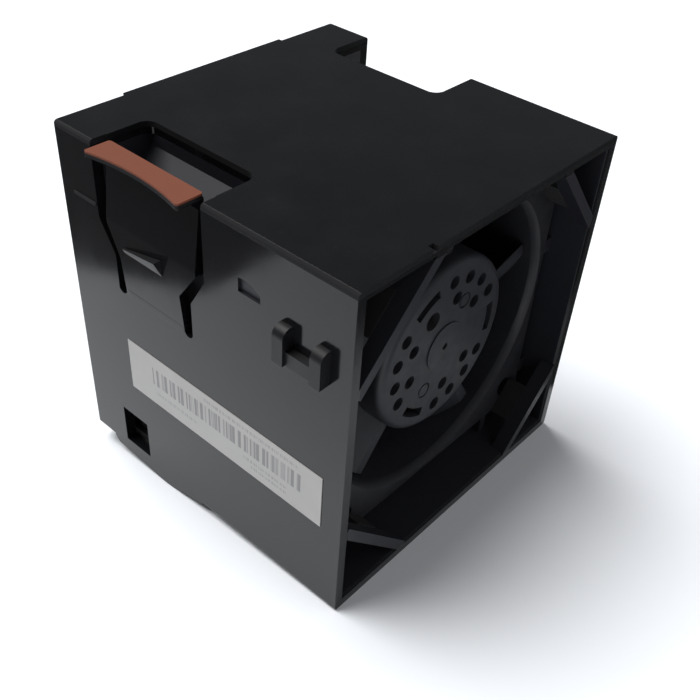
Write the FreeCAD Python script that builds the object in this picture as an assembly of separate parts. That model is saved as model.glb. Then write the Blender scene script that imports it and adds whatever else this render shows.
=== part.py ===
import FreeCAD, Part
import math
import os
from FreeCAD import Vector

os.makedirs("parts", exist_ok=True)

# Server fan module. x runs from left to right, y from the front rim to the rear and z upwards.
# The origin is the middle of the housing's bottom face. All sizes are in millimetres.

# Fan: two halves of 60 mm, each with its own rotor, standing back to back
FAN_SIZE = 60.0
FAN_HALF_DEPTH = 28.0
FLANGE_THICKNESS = 3.4
FLANGE_CORNER = 2.5
SCREW_INSET = 5.0
SCREW_HOLE_RADIUS = 2.2
BARREL_WALL = 1.4
BARREL_INSET = 0.2
FLARE_SPREAD = 0.9
FLARE_LENGTH = 2.6
FLARE_BOW = 0.3
BASE_STEP = 0.8
BASE_RIM = 1.0
BASE_FLOOR = 1.6
BASE_SETBACK = 1.0
BASE_RIM_HEIGHT = 2.2
STRUT_COUNT = 7
STRUT_THICKNESS = 1.4
STRUT_DEPTH = 3.6
STRUT_SKEW = 22.0
LEAD_STRUT_WIDTH = 4.2
LEAD_ANGLE = 225.0
HOOK_WIDTH = 6.0
HOOK_THICKNESS = 1.1
HOOK_NIB = 0.8
HOOK_REACH = 1.3
HOOK_PLACE = -9.0

# Housing
WALL = 2.2
SIDE_GAP = 1.8
RAIL_HEIGHT = 4.8
FAN_SETBACK = 7.0
EDGE_RADIUS = 0.7
RIM_CHAMFER = 0.45
LEFT_WEB_RISE = 15.3
LEFT_WEB_REACH = 14.5
RIGHT_WEB_RISE = 13.0
RIGHT_WEB_REACH = 11.5
WEB_THICKNESS = 2.0
WEB_DEPTH = 3.0
WEB_OVERLAP = 2.0
NICK_PLACE = 17.0
NICK_WIDTH = 1.2
NICK_DEPTH = 1.0
NICK_SINK = 0.9
TAIL_WIDTH = 38.3
TAIL_LENGTH = 0.8
RAIL_THICKNESS = 1.8
RAIL_SETBACK = 0.5
RAIL_CLEARANCE = 0.3
SIDE_RIB_HEIGHT = 3.0
SIDE_RIB_SPACING = 30.0
SIDE_RIB_DROP = 7.5
SEAT_GAP = 0.1

# Finger pockets at the top
POCKET_LENGTH = 26.5
POCKET_WIDTH = 11.9
NOTCH_WIDTH = 11.3
POCKET_CORNER = 2.2
POCKET_WALL_DEPTH = 4.6
POCKET_LINING = 1.4
POCKET_FLOOR_RUN = 4.8
FLANGE_CLEARANCE = 0.4

# Latch. Drops are measured down from the top face.
LATCH_SIDE_GAP = 1.95
LATCH_NECK_STEP = 3.6
LATCH_ROOT_DROP = 27.6
LATCH_NECK_DROP = 20.2
LATCH_FLARE_DROP = 14.3
LATCH_WAIST_SHIFT = 0.8
LATCH_THICKNESS = 1.8
LATCH_LEAN_DROP = 13.4
LATCH_LEAN = 1.4
LATCH_SLOT = 2.1
SLOT_OVERRUN = 0.2
SEAM_DEPTH = 0.5
FLEX_GAP = 0.06
PLATE_REACH_ENDS = 2.8
PLATE_REACH_MIDDLE = 1.4
PLATE_INNER_REACH = 2.5
PLATE_THICKNESS = 0.75
PLATE_CORNER = 0.5
PLATE_BRACE = 1.5
PAD_THICKNESS = 0.35
CATCH_INSET = 2.8
CATCH_SHIFT = 2.1
CATCH_DROP = 15.2
CATCH_HEIGHT = 3.3
CATCH_PROUD = 1.6
CATCH_REAR_SHARE = 0.3

# Small features of the side walls, with drops from the top face
CLIP_START = 4.2
CLIP_LENGTH = 9.8
CLIP_DROP = 11.9
CLIP_HEIGHT = 6.5
CLIP_PROUD = 2.1
CLIP_EAR = 2.2
CLIP_BAR_HEIGHT = 2.6
CLIP_BAR_PROUD = 1.5
CLIP_ROUNDING = 0.8
RECESS_POCKET_GAP = 8.0
RECESS_LENGTH = 4.8
RECESS_DROP = 9.1
RECESS_HEIGHT = 2.5
RECESS_DEPTH = 0.5
RECESS_CROWN_PLACE = 0.3
RECESS_CROWN_DROP = 0.12
RIDGE_GAP = 0.3
RIDGE_LENGTH = 6.0
RIDGE_DROP = 11.6
RIDGE_SIZE = 0.6
WINDOW_REAR_GAP = 9.6
WINDOW_LENGTH = 7.4
WINDOW_BOTTOM = 1.9
WINDOW_HEIGHT = 8.9
LABEL_START = 4.4
LABEL_LENGTH = 49.2
LABEL_BOTTOM = 19.3
LABEL_HEIGHT = 11.5
LABEL_THICKNESS = 0.15

# Skirts below the side walls, measured forwards from the rear rim
SKIRT_START = 32.8
SKIRT_DEEPEST = 21.9
SKIRT_STEP = 6.5
SKIRT_END = 5.4
SKIRT_DROP = 2.3
SKIRT_REAR_DROP = 1.2

# Rotors
HUB_RADIUS = 17.4
HUB_WALL = 1.45
HUB_SETBACK = 0.25
HUB_FACE = 1.6
HUB_EDGE_RADIUS = 1.5
HUB_END_GAP = 5.8
BOSS_RADIUS = 4.85
BOSS_RISE = 0.22
DIMPLE_RADIUS = 0.7
DIMPLE_DEPTH = 0.5
VENT_RADIUS = 1.3
VENT_EDGE_GAP = 3.9
VENT_ROW_GAP = 3.8
ARC_VENT_EDGE_GAP = 3.8
ARC_VENT_WIDTH = 1.8
ARC_VENT_ANGLE = 26.0
VENT_GROUPS = 3
VENT_GROUP_ANGLE = 58.0
VENT_STEP_ANGLE = 20.0
GATE_CIRCLE = 9.0
GATE_RADIUS = 1.6
GATE_WIDTH = 0.35
GATE_DEPTH = 0.3
BALANCE_HOLE_RADIUS = 1.8
BALANCE_HOLE_ANGLE = 120.0
TIP_CLEARANCE = 0.5
FRONT_BLADES = 5
REAR_BLADES = 4
BLADE_START = 2.8
BLADE_END_GAP = 6.6
BLADE_TRIM = 0.2
BLADE_THICKNESS = 1.1
BLADE_CAMBER = 2.4
ROOT_SWEEP = 15.0
TIP_SWEEP = 27.0
SECTION_INSIDE_HUB = 8.7
SECTION_PAST_BORE = 4.3
FIRST_BLADE_ANGLE = 16.0

# Motors
SHAFT_RADIUS = 1.5
SHAFT_END_GAP = 1.8
SHAFT_CHAMFER = 0.3
BUSH_RADIUS = 3.0
BUSH_GAP = 0.5
BEARING_RADIUS = 4.0
BEARING_WIDTH = 3.0
BEARING_END_GAP = 3.8
RACE_THICKNESS = 0.6
BALL_GAP = 0.05
BALL_COUNT = 7
SHIELD_THICKNESS = 0.2
BEARING_START = 5.4
TUBE_WALL = 0.8
TUBE_START = 5.0
STACK_START = 5.4
STACK_END_GAP = 10.6
TOOTH_COUNT = 6
TOOTH_WIDTH = 2.4
CORE_RING = 2.0
POLE_THICKNESS = 1.1
POLE_GAP = 1.4
AIR_GAP = 0.5
MAGNET_THICKNESS = 1.7
MAGNET_LEAD = 2.0
MAGNET_TAIL = 1.0
YOKE_THICKNESS = 1.0
YOKE_SHORTENING = 1.0
RING_GAP = 0.05
INSULATOR_THICKNESS = 0.4
COIL_RISE = 1.4
COIL_INNER_WIDTH = 5.6
COIL_OUTER_WIDTH = 8.6
COIL_EDGE = 0.7
BOARD_THICKNESS = 1.2
BOARD_GAP = 0.5
BOARD_POST_RADIUS = 1.0
BOARD_POST_INSET = 4.0
BOARD_POST_COUNT = 4
CLIP_RING_RADIUS = 2.4
CLIP_RING_THICKNESS = 0.4
CLIP_GROOVE = 0.3
CLIP_OPENING = 1.6

# Rear guard
GUARD_THICKNESS = 4.2
GUARD_GAP = 0.2
GUARD_INSET = 0.5
GUARD_BORE_STEP = 1.0
GUARD_RIB_DEPTH = 2.4
GUARD_RIB_WIDTH = 1.3
GUARD_RING_COUNT = 3
GUARD_HUB_RADIUS = 9.0
GUARD_SPOKES = 6
GUARD_SPOKE_ANGLE = 30.0
GUARD_SPOKE_ROOT = 0.6
BEAD_HEIGHT = 0.5
BEAD_WIDTH = 1.4

# Connector and leads
CONNECTOR_LENGTH = 15.0
CONNECTOR_SIDE_GAP = 1.4
CONNECTOR_WIDTH = 8.0
CONNECTOR_TOP = 10.5
CONNECTOR_PROUD = 1.6
CONNECTOR_FLANGE = 1.2
CONNECTOR_LIP = 1.2
CONNECTOR_FIT = 0.1
MOUTH_WIDTH = 3.2
MOUTH_DEPTH = 6.0
MOUTH_END_WALL = 1.2
CONTACT_COUNT = 8
CONTACT_WIDTH = 0.9
CONTACT_THICKNESS = 0.4
CONTACT_STUB = 1.0
LEAD_RADIUS = 1.0
LEAD_FIT = 0.1
LEAD_SETBACK = 1.85
LEAD_MARGIN = 1.2
LEAD_ENTRY = 2.0
LEAD_START_INSET = 3.0
LEAD_TUNNEL_INSET = 4.0
LEAD_BEND_SHARE = 0.45
LEAD_NOTCH_WIDTH = 4.0

# Isolators
ISOLATOR_LENGTH = 8.0
ISOLATOR_WIDTH = 2.4

# How far a cutting shape runs past the face that it cuts, and the least length that counts
PAST = 1.0
TINY = 1e-6

# Places worked out from the sizes
WIDTH = FAN_SIZE + 2 * (SIDE_GAP + WALL)
HEIGHT = FAN_SIZE + RAIL_HEIGHT + 2 * WALL
DEPTH = FAN_SETBACK + 2 * FAN_HALF_DEPTH + GUARD_THICKNESS + GUARD_INSET
LEFT = -WIDTH / 2
RIGHT = WIDTH / 2
FRONT = -DEPTH / 2
REAR = DEPTH / 2
TOP = HEIGHT
INSIDE_LEFT = LEFT + WALL
INSIDE_RIGHT = RIGHT - WALL
INSIDE_TOP = TOP - WALL
FAN_Z = INSIDE_TOP - FAN_SIZE / 2
FAN_BOTTOM = FAN_Z - FAN_SIZE / 2
FAN_FRONT = FRONT + FAN_SETBACK
FAN_MIDDLE = FAN_FRONT + FAN_HALF_DEPTH
FAN_REAR = FAN_MIDDLE + FAN_HALF_DEPTH
BEHIND_FLANGE = FAN_REAR - FLANGE_THICKNESS - FLANGE_CLEARANCE
POCKET_REAR = BEHIND_FLANGE - POCKET_LINING
POCKET_FRONT = POCKET_REAR - POCKET_LENGTH
POCKET_EDGE = LEFT + POCKET_WIDTH
NOTCH_EDGE = RIGHT - NOTCH_WIDTH
POCKET_FOOT = TOP - POCKET_WALL_DEPTH
POCKET_FLOOR = POCKET_FOOT - POCKET_FLOOR_RUN
DEEPEST_EDGE = max(POCKET_WIDTH, NOTCH_WIDTH) - WIDTH / 2
FLOOR_DISTANCE = (-DEEPEST_EDGE + POCKET_FOOT - FAN_Z) / math.sqrt(2)
CORNER_DISTANCE = FLOOR_DISTANCE - POCKET_LINING - 3 * SEAT_GAP
LATCH_Y = (POCKET_FRONT + POCKET_REAR) / 2
LATCH_HALF_TOP = POCKET_LENGTH / 2 - LATCH_SIDE_GAP
LATCH_HALF_NECK = LATCH_HALF_TOP - LATCH_NECK_STEP
FLEX_HEIGHT = TOP - LATCH_ROOT_DROP + LATCH_THICKNESS / 2
PLATE_TOP = TOP - PAD_THICKNESS
PLATE_BOTTOM = PLATE_TOP - PLATE_THICKNESS
SCREW_PLACE = FAN_SIZE / 2 - SCREW_INSET
BARREL_RADIUS = FAN_SIZE / 2 - BARREL_INSET
BORE_RADIUS = BARREL_RADIUS - BARREL_WALL
FLARE_RADIUS = BORE_RADIUS + FLARE_SPREAD
GUARD_BORE = BORE_RADIUS + GUARD_BORE_STEP
BASE_RADIUS = HUB_RADIUS - BASE_STEP
BASE_END = FAN_HALF_DEPTH - BASE_SETBACK
BASE_FLOOR_TOP = BASE_END - BASE_FLOOR
HUB_INSIDE = HUB_RADIUS - HUB_WALL
HUB_STEP = HUB_SETBACK + HUB_FACE
HUB_END = HUB_SETBACK + FAN_HALF_DEPTH - HUB_END_GAP
BLADE_END = FAN_HALF_DEPTH - BLADE_END_GAP
BLADE_TIP = BORE_RADIUS - TIP_CLEARANCE
YOKE_OUTSIDE = HUB_INSIDE - RING_GAP
YOKE_INSIDE = YOKE_OUTSIDE - YOKE_THICKNESS
MAGNET_OUTSIDE = YOKE_INSIDE - RING_GAP
MAGNET_INSIDE = MAGNET_OUTSIDE - MAGNET_THICKNESS
CORE_RADIUS = MAGNET_INSIDE - AIR_GAP
POLE_INSIDE = CORE_RADIUS - POLE_THICKNESS
TUBE_RADIUS = BEARING_RADIUS + TUBE_WALL
CORE_BORE = TUBE_RADIUS + RING_GAP
STACK_END = FAN_HALF_DEPTH - STACK_END_GAP
SHAFT_END = FAN_HALF_DEPTH - SHAFT_END_GAP
REAR_BEARING_END = FAN_HALF_DEPTH - BEARING_END_GAP
BEARING_STARTS = (BEARING_START, REAR_BEARING_END - BEARING_WIDTH)
CONNECTOR_LEFT = INSIDE_LEFT + CONNECTOR_SIDE_GAP
CONNECTOR_RIGHT = CONNECTOR_LEFT + CONNECTOR_WIDTH
CONNECTOR_MIDDLE = (CONNECTOR_LEFT + CONNECTOR_RIGHT) / 2
CONNECTOR_REAR = BEHIND_FLANGE - CONNECTOR_LIP
CONNECTOR_FRONT = CONNECTOR_REAR - CONNECTOR_LENGTH
MOUTH_TOP = MOUTH_DEPTH - CONNECTOR_PROUD
RAIL_PLACE = -(CONNECTOR_RIGHT + CONNECTOR_LIP + RAIL_CLEARANCE + RAIL_THICKNESS / 2)


def box(x0, x1, y0, y1, z0, z1):
    # Two corners in either order
    x0, x1 = sorted((x0, x1))
    return Part.makeBox(x1 - x0, y1 - y0, z1 - z0, Vector(x0, y0, z0))


def outline(points):
    return Part.Face(Part.makePolygon(points + [points[0]]))


def prism_y(points, y0, y1):
    face = outline([Vector(x, y0, z) for x, z in points])
    return face.extrude(Vector(0, y1 - y0, 0))


def prism_x(points, x0, x1):
    face = outline([Vector(x0, y, z) for y, z in points])
    return face.extrude(Vector(x1 - x0, 0, 0))


def disc(radius, y0, y1):
    return Part.makeCylinder(radius, y1 - y0, Vector(0, y0, 0), Vector(0, 1, 0))


def ring(outside, inside, y0, y1):
    return disc(outside, y0, y1).cut(disc(inside, y0 - PAST, y1 + PAST))


def turned(shape, angle):
    # A copy turned about the fan's axis, from +x towards +z
    copy = shape.copy()
    copy.rotate(Vector(0, 0, 0), Vector(0, -1, 0), angle)
    return copy


def repeated(shape, count, start=0.0):
    return [turned(shape, start + number * 360.0 / count) for number in range(count)]


def shifted(shape, x, y, z):
    copy = shape.copy()
    copy.translate(Vector(x, y, z))
    return copy


def rounded_block(x0, x1, y0, y1, z0, z1, radius):
    # A block whose four long edges along y are rounded
    block = box(x0, x1, y0, y1, z0, z1)
    edges = [edge for edge in block.Edges if abs(edge.Vertexes[0].Y - edge.Vertexes[1].Y) > TINY]
    return block.makeFillet(radius, edges)


def circles_at(shape, y):
    edges = [edge for edge in shape.Edges if edge.Curve.TypeId == "Part::GeomCircle"]
    return [edge for edge in edges if abs(edge.Curve.Center.y - y) < TINY]


def export(node, shape):
    clean = shape.removeSplitter()
    clean.exportStep("parts/" + node + ".step")


def export_group(node, shapes):
    Part.makeCompound(shapes).exportStep("parts/" + node + ".step")


def in_front_half(shape):
    # The fan halves are made with y counted inwards from their open face
    return shifted(shape, 0, FAN_FRONT, FAN_Z)


def in_rear_half(shape):
    return shifted(shape.mirror(Vector(0, 0, 0), Vector(0, 1, 0)), 0, FAN_REAR, FAN_Z)


def export_halves(node, shapes):
    # The same piece in both fan halves, the rear one mirrored
    export_group("front_" + node, [in_front_half(shape) for shape in shapes])
    export_group("rear_" + node, [in_rear_half(shape) for shape in shapes])


# Housing: a moulded tube, open at both ends

def web_line(side, level):
    # Both ends of a corner web's outer edge, and the directions along it and towards the middle
    rise = RIGHT_WEB_RISE if side > 0 else LEFT_WEB_RISE
    reach = RIGHT_WEB_REACH if side > 0 else LEFT_WEB_REACH
    corner = Vector(side * INSIDE_RIGHT, 0, INSIDE_TOP if level > 0 else WALL)
    low = corner - Vector(0, 0, level * rise)
    high = corner - Vector(side * reach, 0, 0)
    along = (high - low).normalize()
    inwards = Vector(-side * rise, 0, -level * reach).normalize()
    return low, high, along, inwards


def slanted_bar(start, end, across, y0, y1):
    points = [start, end, end + across, start + across]
    return prism_y([(point.x, point.z) for point in points], y0, y1)


def corner_web(side, level):
    # A thin bar across one corner of the front opening
    low, high, along, inwards = web_line(side, level)
    start = low - along * WEB_OVERLAP
    end = high + along * WEB_OVERLAP
    return slanted_bar(start, end, inwards * WEB_THICKNESS, FRONT, FRONT + WEB_DEPTH)


def opening_outline(grown, y):
    # The housing's opening, widened on all sides by the chamfer's growth
    left = INSIDE_LEFT - grown
    right = INSIDE_RIGHT + grown
    low = WALL - grown
    high = INSIDE_TOP + grown
    corners = [(left, low), (right, low), (right, high), (left, high)]
    return outline([Vector(x, y, z) for x, z in corners]).OuterWire


def outer_shell():
    solid = rounded_block(LEFT, RIGHT, FRONT, REAR, 0, TOP, EDGE_RADIUS)
    hollow = box(INSIDE_LEFT, INSIDE_RIGHT, FRONT - PAST, REAR + PAST, WALL, INSIDE_TOP)
    mouth = [opening_outline(RIM_CHAMFER, FRONT), opening_outline(0, FRONT + RIM_CHAMFER)]
    return solid.cut(hollow).cut(Part.makeLoft(mouth, True, True))


def fan_seats():
    # Rails under the fan and ribs beside it
    seats = []
    rail_half = RAIL_THICKNESS / 2
    rib_half = SIDE_RIB_HEIGHT / 2
    for side in (-1, 1):
        x = side * RAIL_PLACE
        seats.append(box(x - rail_half, x + rail_half, FAN_FRONT + RAIL_SETBACK, FAN_REAR, WALL, FAN_BOTTOM))
        wall = side * INSIDE_RIGHT
        face = side * (FAN_SIZE / 2 + SEAT_GAP)
        for level in (-1, 1):
            z = FAN_Z - SIDE_RIB_DROP + level * SIDE_RIB_SPACING / 2
            for start in (FAN_FRONT, FAN_REAR - FLANGE_THICKNESS):
                end = start + FLANGE_THICKNESS
                seats.append(box(wall, face, start, end, z - rib_half, z + rib_half))
    return seats


def pocket_tool(edge, side):
    # The space of a finger pocket, open at the top and cut down past the wall beside it
    space = box(edge, side * (RIGHT + PAST), POCKET_FRONT, POCKET_REAR, POCKET_FOOT, TOP + PAST)
    upright = [e for e in space.Edges if abs(e.Vertexes[0].Z - e.Vertexes[1].Z) > TINY]
    corners = [e for e in upright if abs(e.Vertexes[0].X - edge) < TINY]
    return space.makeFillet(POCKET_CORNER, corners)


def pocket_lining(edge, side, floor_end):
    # The moulded walls and the slanted floor that close the pocket towards the fan
    thick = POCKET_LINING
    step = thick * math.tan(math.radians(22.5))
    inner = edge - side * thick
    bend = edge + side * POCKET_FLOOR_RUN
    underside = POCKET_FLOOR - thick
    roof = TOP - WALL / 2
    back = [(inner, roof), (inner, POCKET_FOOT - step), (bend - side * step, underside)]
    floor = [(floor_end, underside), (floor_end, POCKET_FLOOR), (bend, POCKET_FLOOR), (edge, POCKET_FOOT)]
    lining = prism_y([(edge, roof)] + back + floor, POCKET_FRONT, POCKET_REAR)
    wall = side * (RIGHT - WALL / 2)
    end_points = back + [(wall, underside), (wall, roof)]
    front_end = prism_y(end_points, POCKET_FRONT - thick, POCKET_FRONT)
    rear_end = prism_y(end_points, POCKET_REAR, POCKET_REAR + thick)
    return [lining, front_end, rear_end]


def latch_outline(half_top, half_neck, shift, bottom):
    # Half widths at the top and the neck; the waist of the arm lies a little to the rear
    y = LATCH_Y
    waist = y + shift
    neck = TOP - LATCH_NECK_DROP
    flare = TOP - LATCH_FLARE_DROP
    above = TOP + PAST
    return [
        (y - half_neck, bottom), (y + half_neck, bottom), (waist + half_neck, neck), (y + half_top, flare),
        (y + half_top, above), (y - half_top, above), (y - half_top, flare), (waist - half_neck, neck),
    ]


def knuckle(radius, half_length):
    # The rounded root of the arm, about which it flexes
    start = Vector(LEFT + LATCH_THICKNESS / 2, LATCH_Y - half_length, FLEX_HEIGHT)
    return Part.makeCylinder(radius, 2 * half_length, start, Vector(0, 1, 0))


def latch_opening():
    # The slot round the arm, with rounded lower ends and a hollow for the knuckle
    seam = FLEX_HEIGHT - SEAM_DEPTH
    outer_neck = LATCH_HALF_NECK + LATCH_SLOT
    points = latch_outline(LATCH_HALF_TOP + LATCH_SLOT, outer_neck, 0, seam)
    out = LEFT - PAST
    within = INSIDE_LEFT + PAST
    half = LATCH_SLOT / 2
    foot = TOP - LATCH_ROOT_DROP - SLOT_OVERRUN + half
    pieces = [prism_x(points, out, within)]
    pieces.append(knuckle(LATCH_THICKNESS / 2 + FLEX_GAP, LATCH_HALF_NECK + half / 2))
    for side in (-1, 1):
        y = LATCH_Y + side * (LATCH_HALF_NECK + half)
        pieces.append(box(out, within, y - half, y + half, foot, seam + half))
        pieces.append(Part.makeCylinder(half, within - out, Vector(out, y, foot), Vector(1, 0, 0)))
    return pieces[0].multiFuse(pieces[1:])


def guide_clip():
    # Two rounded ears joined by a low bar
    ear_top = TOP - CLIP_DROP
    bottom = ear_top - CLIP_HEIGHT
    y0 = FRONT + CLIP_START
    y1 = y0 + CLIP_LENGTH
    buried = LEFT + WALL / 2
    tip = LEFT - CLIP_PROUD
    pieces = [box(LEFT - CLIP_BAR_PROUD, buried, y0, y1, bottom, bottom + CLIP_BAR_HEIGHT)]
    for start in (y0, y1 - CLIP_EAR):
        ear = box(tip, buried, start, start + CLIP_EAR, bottom, ear_top)
        upper = [e for e in ear.Edges if all(v.Z > ear_top - TINY for v in e.Vertexes)]
        outer = [e for e in upper if all(v.X < tip + TINY for v in e.Vertexes)]
        pieces.append(ear.makeFillet(CLIP_PROUD * CLIP_ROUNDING, outer))
    return pieces


def mould_recess():
    # A shallow recess with an arched upper edge
    y1 = POCKET_FRONT - RECESS_POCKET_GAP
    y0 = y1 - RECESS_LENGTH
    high = TOP - RECESS_DROP
    low = high - RECESS_HEIGHT
    shoulder = (low + high) / 2
    x = LEFT - PAST
    crown = Vector(x, y0 + RECESS_LENGTH * RECESS_CROWN_PLACE, high - RECESS_HEIGHT * RECESS_CROWN_DROP)
    arc = Part.Arc(Vector(x, y1, high), crown, Vector(x, y0, shoulder)).toShape()
    sides = Part.makePolygon([Vector(x, y0, shoulder), Vector(x, y0, low), Vector(x, y1, low), Vector(x, y1, high)])
    face = Part.Face(Part.Wire([arc] + sides.Edges))
    return face.extrude(Vector(PAST + RECESS_DEPTH, 0, 0))


def skirt(side):
    # A tapered tongue of the side wall below the bottom face, which guards the connector
    start = REAR - SKIRT_START
    end = REAR - SKIRT_END
    points = [
        (start, 0), (start, WALL), (end, WALL), (end, 0),
        (REAR - SKIRT_STEP, -SKIRT_REAR_DROP), (REAR - SKIRT_DEEPEST, -SKIRT_DROP),
    ]
    low, high = sorted((side * RIGHT, side * INSIDE_RIGHT))
    return prism_x(points, low, high)


def ledge_ridge():
    # A small moulded ridge behind the latch
    y0 = POCKET_REAR + RIDGE_GAP
    top = TOP - RIDGE_DROP
    return box(LEFT - RIDGE_SIZE / 2, LEFT + WALL / 2, y0, y0 + RIDGE_LENGTH, top - RIDGE_SIZE, top)


def tail_tongue():
    return box(-TAIL_WIDTH / 2, TAIL_WIDTH / 2, REAR - PAST, REAR + TAIL_LENGTH, INSIDE_TOP, TOP)


def wall_window():
    y1 = REAR - WINDOW_REAR_GAP
    top = WINDOW_BOTTOM + WINDOW_HEIGHT
    return box(LEFT - PAST, INSIDE_LEFT + TINY, y1 - WINDOW_LENGTH, y1, WINDOW_BOTTOM, top)


def rim_nick():
    x = LEFT + NICK_PLACE
    return box(x - NICK_WIDTH, x, FRONT - PAST, FRONT + NICK_DEPTH, TOP - NICK_SINK, TOP + PAST)


def connector_socket():
    fit = CONNECTOR_FIT
    return box(
        CONNECTOR_LEFT - fit, CONNECTOR_RIGHT + fit, CONNECTOR_FRONT - fit, CONNECTOR_REAR + fit, -PAST, WALL + TINY
    )


def guard_bead(clearance):
    # The bead round the rear guard, or with no clearance the groove that it snaps into
    grown = BEAD_HEIGHT - clearance
    half = BEAD_WIDTH / 2 - clearance
    middle = FAN_REAR + GUARD_THICKNESS / 2
    return box(
        INSIDE_LEFT - grown, INSIDE_RIGHT + grown, middle - half, middle + half, WALL - grown, INSIDE_TOP + grown
    )


def housing():
    shell = outer_shell().cut(pocket_tool(POCKET_EDGE, -1)).cut(pocket_tool(NOTCH_EDGE, 1))
    added = pocket_lining(POCKET_EDGE, -1, POCKET_EDGE - POCKET_FLOOR_RUN)
    added += pocket_lining(NOTCH_EDGE, 1, RIGHT - WALL / 2)
    added += fan_seats() + guide_clip() + [skirt(-1), skirt(1), ledge_ridge(), tail_tongue()]
    added += [corner_web(side, level) for side in (-1, 1) for level in (-1, 1)]
    body = shell.multiFuse(added)
    side_notch = box(INSIDE_RIGHT - PAST, RIGHT + PAST, POCKET_FRONT, POCKET_REAR, POCKET_FLOOR, TOP + PAST)
    tools = [latch_opening(), side_notch, wall_window(), rim_nick(), mould_recess(), connector_socket()]
    for tool in tools + [guard_bead(0)]:
        body = body.cut(tool)
    return body


# Rear guard: a moulded frame with rings and spokes, held by a bead in the housing's groove

def rear_guard():
    y0 = FAN_REAR
    y1 = FAN_REAR + GUARD_THICKNESS
    gap = GUARD_GAP
    frame = box(INSIDE_LEFT + gap, INSIDE_RIGHT - gap, y0, y1, WALL + gap, INSIDE_TOP - gap)
    bore = shifted(disc(GUARD_BORE, y0 - PAST, y1 + PAST), 0, 0, FAN_Z)
    frame = frame.fuse(guard_bead(gap)).cut(bore)
    rib_start = y1 - GUARD_RIB_DEPTH
    half = GUARD_RIB_WIDTH / 2
    grille = [disc(GUARD_HUB_RADIUS, rib_start, y1)]
    step = (GUARD_BORE - GUARD_HUB_RADIUS) / (GUARD_RING_COUNT + 1)
    for number in range(1, GUARD_RING_COUNT + 1):
        radius = GUARD_HUB_RADIUS + number * step
        grille.append(ring(radius + half, radius - half, rib_start, y1))
    spoke = box(GUARD_HUB_RADIUS - PAST, GUARD_BORE + GUARD_SPOKE_ROOT, rib_start, y1, -half, half)
    grille += repeated(spoke, GUARD_SPOKES, GUARD_SPOKE_ANGLE)
    return frame.multiFuse([shifted(piece, 0, 0, FAN_Z) for piece in grille])


# Fan halves

def strut_bar():
    # A skewed vane from the motor base to the barrel
    half = STRUT_THICKNESS / 2
    lean = STRUT_DEPTH * math.tan(math.radians(STRUT_SKEW)) / 2
    y0 = FAN_HALF_DEPTH - STRUT_DEPTH
    y1 = FAN_HALF_DEPTH
    start = BASE_RADIUS - BASE_RIM
    face = outline([
        Vector(start, y0, -half - lean), Vector(start, y0, half - lean),
        Vector(start, y1, half + lean), Vector(start, y1, -half + lean),
    ])
    return face.extrude(Vector(BARREL_RADIUS - BARREL_WALL / 2 - start, 0, 0))


def lead_strut():
    # The wide strut that carries the leads out
    half = LEAD_STRUT_WIDTH / 2
    end = BARREL_RADIUS - BARREL_WALL / 2
    return box(BASE_RADIUS - BASE_RIM, end, FAN_HALF_DEPTH - STRUT_DEPTH, FAN_HALF_DEPTH, -half, half)


def lead_tunnel():
    start = Vector(BASE_RADIUS - LEAD_TUNNEL_INSET, FAN_HALF_DEPTH - LEAD_SETBACK, 0)
    return Part.makeCylinder(LEAD_RADIUS + LEAD_FIT, FAN_SIZE, start, Vector(1, 0, 0))


def lead_notch():
    # Room beside the barrel for the sleeve on its way down
    half = LEAD_NOTCH_WIDTH / 2
    start = FAN_HALF_DEPTH - FLANGE_THICKNESS - PAST
    return box(BARREL_RADIUS, FAN_SIZE, start, FAN_HALF_DEPTH + PAST, -half, half)


def bell_mouth():
    # The flare of the open end, as a cutting ring
    bow = Vector(BORE_RADIUS + FLARE_SPREAD * FLARE_BOW, FLARE_LENGTH * FLARE_BOW, 0)
    wide = Vector(FLARE_RADIUS, 0, 0)
    narrow = Vector(BORE_RADIUS, FLARE_LENGTH, 0)
    curve = Part.Arc(wide, bow, narrow).toShape()
    back = BORE_RADIUS - PAST
    lines = Part.makePolygon([narrow, Vector(back, FLARE_LENGTH, 0), Vector(back, 0, 0), wide])
    face = Part.Face(Part.Wire([curve] + lines.Edges))
    return face.revolve(Vector(0, 0, 0), Vector(0, 1, 0), 360)


def motor_base():
    # A shallow cup that holds the bearing tube
    base = disc(BASE_RADIUS, BASE_FLOOR_TOP - BASE_RIM_HEIGHT, BASE_END)
    base = base.cut(disc(BASE_RADIUS - BASE_RIM, 0, BASE_FLOOR_TOP))
    return base.cut(disc(TUBE_RADIUS, 0, BASE_END + PAST))


def board_posts():
    # Short posts on the motor base that carry the board
    post = disc(BOARD_POST_RADIUS, BASE_FLOOR_TOP - BOARD_GAP, BASE_FLOOR_TOP + BASE_FLOOR / 2)
    return repeated(shifted(post, BASE_RADIUS - BOARD_POST_INSET, 0, 0), BOARD_POST_COUNT)


def middle_flange():
    # The flange where the halves meet; its corners are cut back under the finger pockets
    half = FAN_SIZE / 2
    start = FAN_HALF_DEPTH - FLANGE_THICKNESS
    square = box(-half, half, start, FAN_HALF_DEPTH, -half, half)
    across = CORNER_DISTANCE
    return square.common(turned(box(-across, across, 0, FAN_HALF_DEPTH, -across, across), 45))


def screw_holes():
    hole = disc(SCREW_HOLE_RADIUS, -PAST, FLANGE_THICKNESS + PAST)
    places = (-SCREW_PLACE, SCREW_PLACE)
    return [shifted(hole, x, 0, z) for x in places for z in places]


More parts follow.
